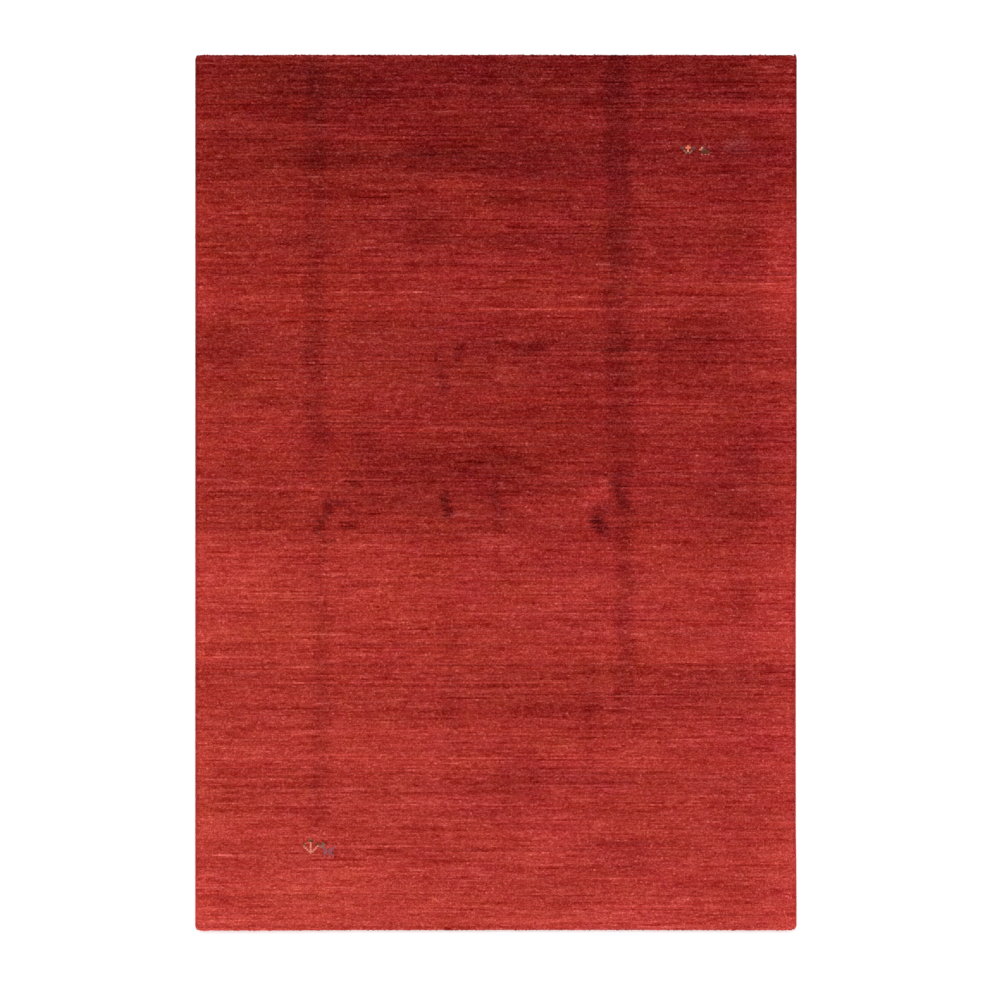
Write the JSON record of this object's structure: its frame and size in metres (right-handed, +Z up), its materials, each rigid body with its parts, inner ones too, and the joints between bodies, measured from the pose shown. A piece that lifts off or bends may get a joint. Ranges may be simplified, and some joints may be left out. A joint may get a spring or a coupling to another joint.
{
  "type": "gabbeh rug",
  "caption": "Hand-knotted wool pile rug lying flat, in streaked red yarns, with overcast cords along its long sides and plain turned-under ends.",
  "frame": {"origin": "middle of the underside, on the surface the rug lies on", "axes": "+Y along the rug's length, +X across its width, +Z up out of the pile"},
  "size_m": [1.4, 2.04, 0.0125],
  "materials": {
    "pile_wool": "clipped wool pile, matt with a soft sheen, red yarn streaked darker and lighter across the rug",
    "cord_wool": "smooth overcast wool yarn, matt",
    "base_weave": "flat-woven wool base and turned-under ends, matt"
  },
  "bodies": {
    "root": {"rug_field": "pile_wool", "side_cord_left": "cord_wool", "side_cord_right": "cord_wool"}
  },
  "joints": []
}
